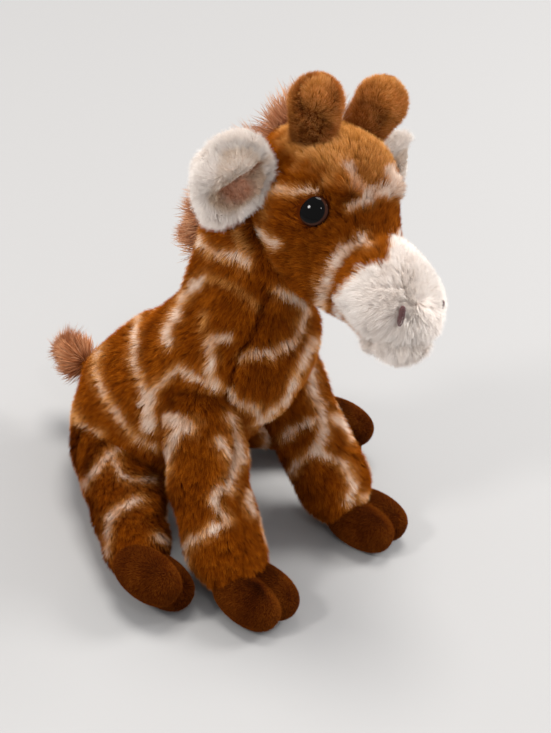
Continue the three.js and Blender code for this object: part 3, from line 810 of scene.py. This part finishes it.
# ---------------------------------------------------------------- body
# Share of the way up, then the width, the depth and the shift to the back there, as shares of the whole
TRUNK_ROWS = [
    (0.00, 0.84, 0.62, 0.02), (0.10, 0.95, 0.72, 0.03), (0.24, 1.00, 0.84, 0.00), (0.41, 0.98, 0.95, -0.08),
    (0.58, 0.91, 0.94, -0.21), (0.71, 0.85, 0.84, -0.34), (0.82, 0.82, 0.74, -0.41), (1.00, 0.68, 0.62, -0.44),
]


def neck_form():
    """The neck: a ball inside the trunk, a waisted stem, and a dome under the head."""
    ball, girth, shoulder, top, dome = 38, 33, 17.84, 74, 18
    profile = [(ball * math.cos(a) + INSET, ball * math.sin(a)) for a in arc(-86, 28, 24)]
    for share, waist in ((0.2, 1.02), (0.4, 0.985), (0.6, 0.98), (0.85, 0.99), (1, 1)):
        profile.append((girth * waist + INSET, shoulder + (top - shoulder) * share))
    profile += [((girth + INSET) * math.cos(a), top + dome * math.sin(a)) for a in arc(12, 84, 8)]
    return moved(turned(profile, -36, 92.5), NECK_FRAME)


def body():
    trunk = stuffed(146, 100, 109, TRUNK_ROWS, ends=(0.08, 0.15), flat=0.62, grow=INSET)
    obj = lumpy(sewn("body_fur", [trunk, neck_form()], 2.2, 10), 0.9, 34)
    dye = patched(MARKS["body"], spaced(places(obj.data), 34), 1.6, SEAMS["body"])

    def comb(p, n):
        return np.array([0, 0.25, -1.0]) + 0.6 * np.where(p[:, 2:] < 14, unit(p * (1, 1, 0)), 0)

    furred(obj, FUR, "body", comb, coat(SEAMS["body"], 0.55), dye, sat_on(0.15))
    kept(obj, ("trunk_cover", "trunk_filling", "pellet_bag", "neck"), None)
    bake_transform(obj)


body()


# ---------------------------------------------------------------- legs and hooves
KNEE_TO_ANKLE = 0.78  # the share of a leg's length at which its rounded end starts
TOE = (11.3, 12.1, 19.1)


def leg_form(leg):
    length = (Vector(leg["ankle"]) - Vector(leg["hip"])).length
    ball, knee, ankle = (girth + INSET for girth in leg["girths"])
    profile = [(ball * math.cos(a), ball * math.sin(a)) for a in arc(-84, -8, 12)]
    middle = length * KNEE_TO_ANKLE
    steps = np.linspace(0, 1, 14)
    profile += list(zip(along([(0, ball), (0.5, knee), (1, ankle)], 1, steps), steps * middle))
    end = length * (1 - KNEE_TO_ANKLE) + leg["cuff"]
    profile += [(ankle * math.cos(a) ** 0.75, middle + end * math.sin(a)) for a in arc(12, 84, 8)]
    points, faces = turned(profile, -ball, middle + end)
    bow = np.sin(np.pi * np.clip(points[:, 2] / length, 0, 1))
    z = (Vector(leg["ankle"]) - Vector(leg["hip"])).normalized()
    x = Vector((-z.y, z.x, 0)).normalized()
    points, faces = moved((points, faces), basis(x, z.cross(x), z, leg["hip"]))
    return points + bow[:, None] * leg["bow"], faces


def hoof_form(leg):
    """Two blunt toes and the cleft between them, standing on the floor under the ankle."""
    angles = np.pi * np.arange(1, 20) / 20
    points, faces = turned(list(zip(np.sin(angles) ** 0.72, -np.cos(angles))), -1, 1, 32)
    toe = points * TOE, faces
    toes = [moved(toe, turn(leg["roll"], "Y") @ shift(side * 6.9, 0, 0) @ turn(90, "X")) for side in (-1, 1)]
    low = min(p[:, 2].min() for p, _ in toes)
    x, y, _ = leg["ankle"]
    foot = shift(x, y, 0) @ turn(leg["side"] * 4, "Z") @ shift(0, -leg["ahead"], -low + 0.2)
    return [moved(form, foot) for form in toes]


def add_leg(number, name, leg):
    obj = lumpy(sewn(f"{name}_fur", [leg_form(leg)], 1.8, 4), 0.8, 26)
    seam = SEAMS.get(name)
    dye = patched(MARKS.get(name), spaced(places(obj.data), 27), 1.5, seam)
    down = heading((Vector(leg["ankle"]) - Vector(leg["hip"])).normalized())
    furred(obj, FUR, "leg", down, coat(seam, 0.5), dye, sat_on(0.2), seed=11 + number)
    kept(obj, (name,), name)
    word = name.replace("leg", "hoof")
    hoof = sewn(f"{word}_velour", hoof_form(leg), 1.0, 1)
    furred(hoof, VELOUR, "hoof", heading((0, 0.5, -1.0)), lasting(1.5), plain_dye(0.3, 0.8, 0.06), seed=21 + number)
    kept(hoof, (word,), name)


for number, (name, leg) in enumerate(LEGS.items()):
    add_leg(number, name, leg)


# ---------------------------------------------------------------- head
# As the trunk's rows, from the back of the head to its front
HEAD_ROWS = [
    (0.00, 0.84, 0.74, 0.10), (0.08, 0.88, 0.77, 0.08), (0.26, 0.93, 0.88, 0.03), (0.43, 1.02, 1.00, -0.01),
    (0.54, 0.98, 0.99, -0.05), (0.64, 0.82, 0.85, -0.13), (0.72, 0.70, 0.70, -0.20), (0.83, 0.61, 0.57, -0.25),
    (1.00, 0.50, 0.46, -0.26),
]
MUZZLE_ROWS = [(0, 0.86, 1.02, 0.08), (0.35, 1, 0.99, 0.02), (1, 0.92, 0.84, -0.13)]
FORWARD = turn(90, "X")
FACE = np.array(FACE_FRAME)
FACE_UP = FACE[:3, 2]


def on_face(points):
    return np.asarray(points, float) @ FACE[:3, :3].T + FACE[:3, 3]


def in_face(points):
    return (points - FACE[:3, 3]) @ FACE[:3, :3]


EYE_AT = (28.5, -21.5, 5.3)
EYES = [on_face((side * EYE_AT[0], *EYE_AT[1:])) for _, side in SIDES]
NOSE = on_face((0, -84, -18))
NOSTRILS = {word: np.mean(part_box(f"nostril_{word}"), axis=0) / MM for word, _ in SIDES}


def mirrored(points, n):
    """Each place the photograph hides, moved to its twin on the face's other side if that shows there."""
    local, way = in_face(points), n @ FACE[:3, :3]
    hidden = (n @ BACK < 0.12) & (local[:, 0] > 0)
    local[hidden, 0] *= -1
    way[hidden, 0] *= -1
    return on_face(local), way @ FACE[:3, :3].T


def white_side(px):
    """From 0 to 1, how far pixels lie to the muzzle's side of its white edge."""
    edge = np.array(MUZZLE_EDGE, float).reshape(-1, 2)
    return smooth(-2.0, 2.5, px[:, 0] - np.interp(px[:, 1], edge[:, 1], edge[:, 0]))


def face_dye(root, n, tone):
    """Chestnut with cream lines and a white muzzle, in shares of the face's four dyes. The top of the head is
    painted lighter tan: painted light from above.
    """
    tan, cream_at, white_at = 0.31, 0.74, 0.98
    place, way = mirrored(root, n)
    px = in_pixels(place)
    shown = in_view(way, -0.05, 0.15)
    local = in_face(root)
    cream = drawn(px, MARKS["head"]) * shown
    white = np.maximum(white_side(px) * shown, smooth(-62, -66, local[:, 1]))
    white = np.where(local[:, 1] > -38, 0, white)
    # The top of the head is painted lighter tan, and a little lighter still: painted light from above.
    lit_crown = smooth(19, 29, local[:, 2] + 3 * mottle(local, 12)) * smooth(-34, -24, local[:, 1])
    ground = tan * lit_crown
    return white_at * np.maximum(ground + cream * (cream_at - ground), white), 0.03 * lit_crown


def near_eye(p):
    return np.minimum(*(np.linalg.norm(p - eye, axis=1) for eye in EYES))


def near_nostril(p):
    """How far places are from a nostril, whose height counts less because it is a long bar."""
    apart = [p - centre for centre in NOSTRILS.values()]
    return np.minimum(*(np.linalg.norm(d - 0.55 * (d @ FACE_UP)[:, None] * FACE_UP, axis=1) for d in apart))


def head():
    skull = stuffed(100, 76, 80, HEAD_ROWS, ends=(0.3, 0.14), grow=INSET)
    brows = [moved(egg((8.8, 10, 6.2)), FACE_FRAME @ shift(side * 16, -21, 17.5)) for _, side in SIDES]
    obj = sewn("head_fur", [moved(skull, FACE_FRAME @ shift(0, 36, 0) @ FORWARD), *brows], 1.8, 8)

    def length(p, n):
        grown = COAT_LENGTH + 1.5 * smooth(-50, -64, in_face(p)[:, 1])
        return grown * (0.35 + 0.65 * smooth(8.3, 12.5, near_eye(p)))

    def thick(p, n):
        return np.where(near_eye(p) < 8.4, 0.0, 1.0)

    furred(obj, FACE_FUR, "head", lambda p, n: p - NOSE, length, face_dye, thick, seed=31)
    kept(obj, ("head_cover", "head_filling"), "head")


def muzzle():
    form = stuffed(44, 53, 42, MUZZLE_ROWS, ends=(0.12, 0.52), grow=-2.6)
    obj = sewn("muzzle_pile", [moved(form, FACE_FRAME @ shift(0, -41, -20.8) @ FORWARD)], 1.5, 3)

    def comb(p, n):
        return p - NOSE + [0, 0, -8]

    def length(p, n):
        return (6.6 - 1.6 * smooth(0.1, 0.8, n @ FACE_UP)) * (0.25 + 0.75 * smooth(2.0, 5.2, near_nostril(p)))

    def thick(p, n):
        return np.where(near_nostril(p) < 1.6, 0.0, 1.0)

    def dye(root, n, tone):
        return face_dye(root, n, tone)[0], 0.05

    furred(obj, FACE_FUR, "muzzle", comb, length, dye, thick, seed=41)
    kept(obj, ("muzzle",), "head")


def chin():
    obj = sewn("chin_pile", [moved(egg((13.5, 12, 7), (0, -69.5, -37.6)), FACE_FRAME)], 1.4, 3)
    middle = on_face((0, -68, -30))
    comb = lambda p, n: (p - middle) + [0, 2, -5]
    furred(obj, FACE_FUR, "chin", comb, lasting(7.0), plain_dye(0.93, 0.98, 0.03), seed=51)
    kept(obj, ("chin",), "head")


head()
muzzle()
chin()


# ---------------------------------------------------------------- horns
def horn(word, side):
    stem, knob, height, sunk = 10 + INSET / 2, 13 + INSET, 18, 14
    profile = [(stem, -sunk), (stem, 0)]
    profile += [(knob * math.cos(a), height + knob * math.sin(a)) for a in arc(-22, 84, 12)]
    seat = FACE_FRAME @ shift(side * 17, 3, 33) @ turn(3, "X") @ turn(side * 21, "Y")
    obj = sewn(f"ossicone_{word}_pile", [moved(turned(profile, -sunk, height + knob), seat)], 1.4, 6)
    m = np.array(seat)

    def dye(root, n, tone):
        # Lighter tan towards the top of the horn and darker chestnut low down: painted light from above.
        up = (root - m[:3, 3]) @ m[:3, 2]
        return 0.52 + 0.25 * smooth(-2, 12, up + 2 * mottle(root, 9)), 0.10

    furred(obj, HORN, "horn", heading(m[:3, 2]), lasting(3.7), dye, seed=61 + side)
    kept(obj, (f"ossicone_{word}",), "head")


# ---------------------------------------------------------------- ears
EAR_ROWS = [(0, 0.3), (0.2, 0.72), (0.45, 1), (0.7, 0.96), (0.88, 0.7), (1, 0.3)]
EAR_RIM = {"half": 22.2, "length": 33.5}
CREASE = {"at": (-11.5, 11.0), "along": (0.797, 0.603), "height": 11.0}
HOLLOW = (5, 14)


def leaf(length, width, thickness, offset, start, front=None, around=64, steps=34):
    """An ear's leaf: X across it, Z out along it, cupped towards Y. front adds to the height of its open side."""
    share = np.linspace(0, 1, steps)
    c, s = circle(around)
    x = (width / 2 * along(EAR_ROWS, 1, share))[:, None] * c
    z = np.repeat((start + (length - start) * share)[:, None], around, 1)
    y = 11 * (2 * x / 47) ** 2 + 5 * share[:, None] ** 2 + offset + thickness / 2 * s
    if front:
        y = y + front(x, z) * np.clip(s, 0, 1)
    return closed(np.stack([x, y, z], -1), (0, offset, start), (0, offset + 5, length + thickness / 2))


def bump(x, z, at, x_scale, z_scale):
    """From 0 to 1, how near places on the ear are to a point of it."""
    return np.exp(-((x - at[0]) ** 2 / x_scale + (z - at[1]) ** 2 / z_scale))


def from_crease(x, z):
    """How far places on the ear lie along its crease, and to the upper side of it."""
    dx, dz = x - CREASE["at"][0], z - CREASE["at"][1]
    across, up = CREASE["along"]
    return dx * across + dz * up, dz * across - dx * up


def fold(x, z):
    """The soft roll along the ear's lining, steep on the side of the hollow that it overhangs."""
    s, d = from_crease(x, z)
    roll = smooth(-0.6, 1.6, d) * (1 - smooth(5, 17, d)) * smooth(-7, 4, s) * (1 - smooth(17, 30, s))
    puff = np.exp(-(x / 13) ** 2) * smooth(15, 23, z) * (1 - smooth(29, 35, z))
    return CREASE["height"] * roll - 2.3 * bump(x, z, HOLLOW, 46, 70) + 4.0 * puff * (1 - roll)


def valley(x, z):
    """From 0 to 1, how deep in the crease places lie."""
    s, d = from_crease(x, z)
    return np.exp(-((d + 1.6) / 2.0) ** 2) * smooth(-9, -2, s) * (1 - smooth(19, 25, s))


def ear(word, side):
    out = Vector((side, math.tan(math.radians(38)), math.tan(math.radians(4)))).normalized()
    over = Vector((0, -1, 0)).cross(out).normalized()
    seat = FACE_FRAME @ basis(over, out.cross(over), out, (side * 34, 6, 6))
    m = np.array(seat)

    def on_leaf(p):
        """Places across and along the leaf. Across is mirrored, so that both ears have one pattern."""
        q = (p - m[:3, 3]) @ m[:3, :3]
        return q[:, 0] * -side, q[:, 2]

    def rim(p):
        x, z = on_leaf(p)
        half = EAR_RIM["half"] * along(EAR_ROWS, 1, np.clip(z / EAR_RIM["length"], 0.001, 1))
        return np.minimum(half - np.abs(x), EAR_RIM["length"] - z)

    def facing(n):
        return n @ m[:3, 1]

    def outward(p, n):
        return ((p - m[:3, 3]) @ m[:3, :3] * (1, 0, 1) - (0, 0, 12)) @ m[:3, :3].T

    def back_thick(p, n):
        return np.where((facing(n) > 0.4) & (rim(p) > 5) & (on_leaf(p)[1] > 5), 0.0, 1.0)

    def back_dye(root, n, tone):
        edge = 1 - smooth(3.5, 6.5, rim(root) + 1.2 * (tone - 0.5))
        return 0.02 + 0.95 * np.maximum(edge, smooth(0.1, 0.4, facing(n))), 0.05

    def turned_in(p):
        return bump(*on_leaf(p), HOLLOW, 26, 44)

    def lining_length(p, n):
        return (1.8 + 4.2 * (1 - smooth(3, 10, rim(p)))) * (1 - 0.4 * turned_in(p))

    def lining_dye(root, n, tone):
        """White on the rim and the fold, and linen inside. The hollow goes to blush, and the crease under the fold
        is painted pinker and darker as painted shade.
        """
        x, z = on_leaf(root)
        raised = np.clip(fold(x, z) / CREASE["height"], 0, 1)
        pale = 0.42 + 0.54 * np.maximum(1 - smooth(3, 9, rim(root)), 0.7 * raised)
        # Painted shade along the bottom of the crease under the fold: the lining there is painted pinker and darker.
        crease_shade = valley(x, z) * (raised < 0.5)
        # The hollow under the fold goes to blush: the lining's own pink, made darker than the linen as painted
        # shade.
        pale -= 0.95 * turned_in(root) + 0.45 * crease_shade
        return 0.02 + np.clip(pale + 0.05 * (tone - 0.5), 0, 0.96), 0.10 - 0.3 * crease_shade

    root = turned([(3.6, -7.3), (3.6, 7.3)], -7.3, 7.3, 24)
    leaves = [moved(leaf(33.5, 43.5, 3.4, 0, 0), seat), moved(root, seat @ turn(90, "Y"))]
    back = sewn(f"ear_{word}_fur", leaves, 1.1, 3)
    furred(back, FACE_FUR, "ear", outward, lasting(4.8), back_dye, back_thick, seed=71 + side)
    kept(back, (f"ear_{word}",), f"ear_{word}")
    form = leaf(32.5, 42.5, 3.2, 4.5, 3.5, lambda x, z: fold(x * -side, z))
    lining = sewn(f"ear_lining_{word}_pile", [moved(form, seat)], 0.9, 2)
    furred(lining, PALE, "lining", outward, lining_length, lining_dye, seed=81 + side)
    kept(lining, (f"ear_lining_{word}",), f"ear_{word}")


# ---------------------------------------------------------------- manes and tail
def manes():
    """Hair over the crown and down the neck, only on the outer side of each ridge."""
    ridge = [shift(0, 31 * math.cos(a), 35 * math.sin(a)) for a in arc(54, -12, 14)]
    obj = sewn("mane_head_pile", [moved(egg((4.2, 4.2, 4.2)), FACE_FRAME @ at) for at in ridge], 1.5, 2)
    radial = lambda p, n: ((in_face(p) - (0, 0, -2)) * (0, 1, 1)) @ FACE[:3, :3].T
    outer = lambda p, n: np.where((radial(p, n) * n).sum(1) > 0, 1.0, 0.0)
    furred(obj, MANE, "head mane", radial, lasting(19), plain_dye(shade=0.08), outer, seed=91)
    kept(obj, ("mane_head",), "head")

    ridge = [shift(0, 30, height) for height in np.linspace(48, 74, 9)]
    obj = sewn("mane_neck_pile", [moved(egg((4, 4, 4)), NECK_FRAME @ at) for at in ridge], 1.5, 2)
    axes = np.array(NECK_FRAME)
    back = heading(axes[:3, 1] - 0.5 * axes[:3, 2])
    outer = lambda p, n: np.where(n @ axes[:3, 1] > 0, 1.0, 0.0)
    furred(obj, MANE, "neck mane", back, lasting(14.5), plain_dye(shade=0.08), outer, seed=93)
    kept(obj, ("mane_neck",), "neck")


def tail():
    seat = shift(0, 38, 38) @ turn(-80, "X")
    out = heading(np.array(seat)[:3, 2])
    profile = [(5.6 * math.cos(a), 5.6 * math.sin(a)) for a in arc(-84, 30, 10)] + [(3.4, 6), (3.4, 20)]
    obj = sewn("tail_fur", [moved(turned(profile, -5.6, 20, 24), seat)], 1.1, 3)
    dye = lambda root, n, tone: (0.96 * smooth(0.6, 1.2, mottle(root, 9)), 0)
    furred(obj, FUR, "tail", out, lasting(3.6), dye, seed=95)
    kept(obj, ("tail",), "tail")
    tuft = sewn("tail_tuft_pile", [moved(egg((4.2, 4.2, 6.5), (0, 0, 24)), seat)], 1.1, 2)
    furred(tuft, MANE, "tuft", out, lasting(14), plain_dye(), seed=97)
    kept(tuft, ("tail_tuft",), "tail")


for word, side in SIDES:
    horn(word, side)
for word, side in SIDES:
    ear(word, side)
manes()
tail()


# ---------------------------------------------------------------- eyes and nostrils
def add_plain(name, form, seat, material, values, nodes):
    data = mesh_of(name, moved(form, seat)[0], form[1])
    data.materials.append(material)
    lay_map(data, np.clip(values, 0.01, 0.99))
    kept(link(bpy.data.objects.new(name, data)), nodes, "head")


def eyes():
    black, radius = (0.0012, 0.0010, 0.0010), 7.6
    rings = [(0.0, black), (0.80, black), (0.87, (0.045, 0.014, 0.006)), (0.95, (0.035, 0.010, 0.005)),
             (1.0, (0.006, 0.003, 0.002))]
    material = by_ramp("eye plastic", 0.04, rings, Specular_IOR_Level=0.12)
    profile = [(2.2, -9), (2.2, 0), (7.3, 0), (radius, 0.3), (radius, 0.9)]
    profile += [(7.5 * math.cos(a), 1.2 + 3.5 * math.sin(a)) for a in arc(4, 86, 14)]
    form = turned(profile, -9, 4.7, 56)
    x, y = form[0][:, 0], form[0][:, 1]
    values = np.stack([np.hypot(x, y) / radius, np.arctan2(y, x) / (2 * np.pi) + 0.5], -1)
    for word, side in SIDES:
        gaze = Vector((side, -math.tan(math.radians(20)), math.tan(math.radians(20)))).normalized()
        facing = Vector((0, 0, 1)).rotation_difference(gaze).to_matrix().to_4x4()
        sunk = shift(0, 0, -1.5 if side > 0 else 0)  # keeps the far eye behind the face's outline
        seat = FACE_FRAME @ shift(side * EYE_AT[0], *EYE_AT[1:]) @ facing @ sunk
        nodes = (f"eye_{word}", f"eye_washer_{word}")
        add_plain(f"eye_{word}_button", form, seat, material, values, nodes)


def nostrils():
    """Bars of thread, wound side by side over each nostril."""
    material = by_ramp("thread", 0.55, [(0.0, (0.012, 0.003, 0.003)), (1.0, (0.11, 0.022, 0.02))], Sheen_Weight=0.3)
    threads, length, width, depth, around = 13, 10.5, 1.7, 1.5, 28
    height = np.linspace(-0.97, 0.97, threads * 8)
    wound = np.abs(np.sin(np.pi * threads * (height + 1) / 2))
    girth = (np.sqrt(1 - height**4) * (0.80 + 0.20 * np.sqrt(wound)))[:, None]
    c, s = circle(around)
    up_bar = np.repeat(length / 2 * height[:, None], around, 1)
    rings = np.stack([width * girth * c, depth * girth * s, up_bar], -1)
    form = closed(rings, (0, 0, -length / 2), (0, 0, length / 2))
    # The thread is painted darker in the grooves between windings and lighter on their crowns: painted shade.
    tone = np.concatenate([np.repeat(wound, around), [0, 0]])
    values = np.stack([tone, form[0][:, 0] / 4 + 0.5], -1)
    middle = on_face((0, -63, -20))
    for word, side in SIDES:
        centre = NOSTRILS[word]
        out = Vector(unit(centre - middle))
        up = Vector(FACE_UP) + Vector(FACE[:3, 0]) * side * math.tan(math.radians(14))
        up = (up - up.dot(out) * out).normalized()
        sunk = 1.8 if side > 0 else 0.35
        seat = basis(up.cross(out), out, up, centre - np.array(out) * sunk)
        add_plain(f"nostril_{word}_thread", form, seat, material, values, (f"nostril_{word}",))


eyes()
nostrils()


# ---------------------------------------------------------------- light and floor
def make_world():
    """A soft glow that lights the toy, and a backdrop of its own for the camera."""
    world = bpy.data.worlds.new("studio")
    bpy.context.scene.world = world
    world.use_nodes = True
    sky = Tree(world.node_tree)
    glow = sky.node("ShaderNodeBackground", {"Color": (0.97, 0.97, 1.0, 1), "Strength": 0.66})
    seen = sky.node("ShaderNodeBackground", {"Color": (0.95, 0.95, 0.95, 1), "Strength": 0.60})
    by_camera = sky.node("ShaderNodeLightPath", out="Is Camera Ray")
    split = sky.node("ShaderNodeMixShader", {0: by_camera, 1: glow, 2: seen})
    end = next(n for n in world.node_tree.nodes if n.type == "OUTPUT_WORLD")
    world.node_tree.links.new(split.socket, end.inputs["Surface"])


def lamp(name, place, size, power, colour, kind="AREA"):
    """A lamp aimed at the toy. Its size is in metres, or in degrees for a sun."""
    data = bpy.data.lights.new(name, kind)
    data.energy, data.color = power, colour
    if kind == "SUN":
        data.angle = math.radians(size)
    else:
        data.shape, data.size = "DISK", size
    obj = link(bpy.data.objects.new(name, data))
    obj.location = place
    obj.rotation_euler = (Vector((0, -0.05, 0.12)) - Vector(place)).to_track_quat("-Z", "Y").to_euler()


def floor(half=6):
    data = bpy.data.meshes.new("floor")
    data.from_pydata([(-half, -half, 0), (half, -half, 0), (half, half, 0), (-half, half, 0)], [], [[0, 1, 2, 3]])
    obj = link(bpy.data.objects.new("floor", data))
    material, _, shader = finish("floor paper", 0.9)
    shader.inputs["Base Color"].default_value = (0.40, 0.395, 0.39, 1)
    data.materials.append(material)


make_world()
lamp("sun", (0.3, 0.3, 2.0), 26, 2.2, (1.0, 0.98, 0.95), "SUN")
lamp("window", (1.4, -0.8, 1.2), 0.8, 24, (1.0, 0.99, 0.98))
lamp("key", (-0.984, 0.256, 0.912), 0.2, 6.5, (1.0, 0.98, 0.96))
lamp("fill", (-0.585, -0.648, 1.115), 0.1, 1, (1.0, 0.98, 0.96))
floor()
bpy.context.scene.view_settings.view_transform = "Standard"
for spare in (SHORT, LONG):
    bpy.data.objects.remove(spare)
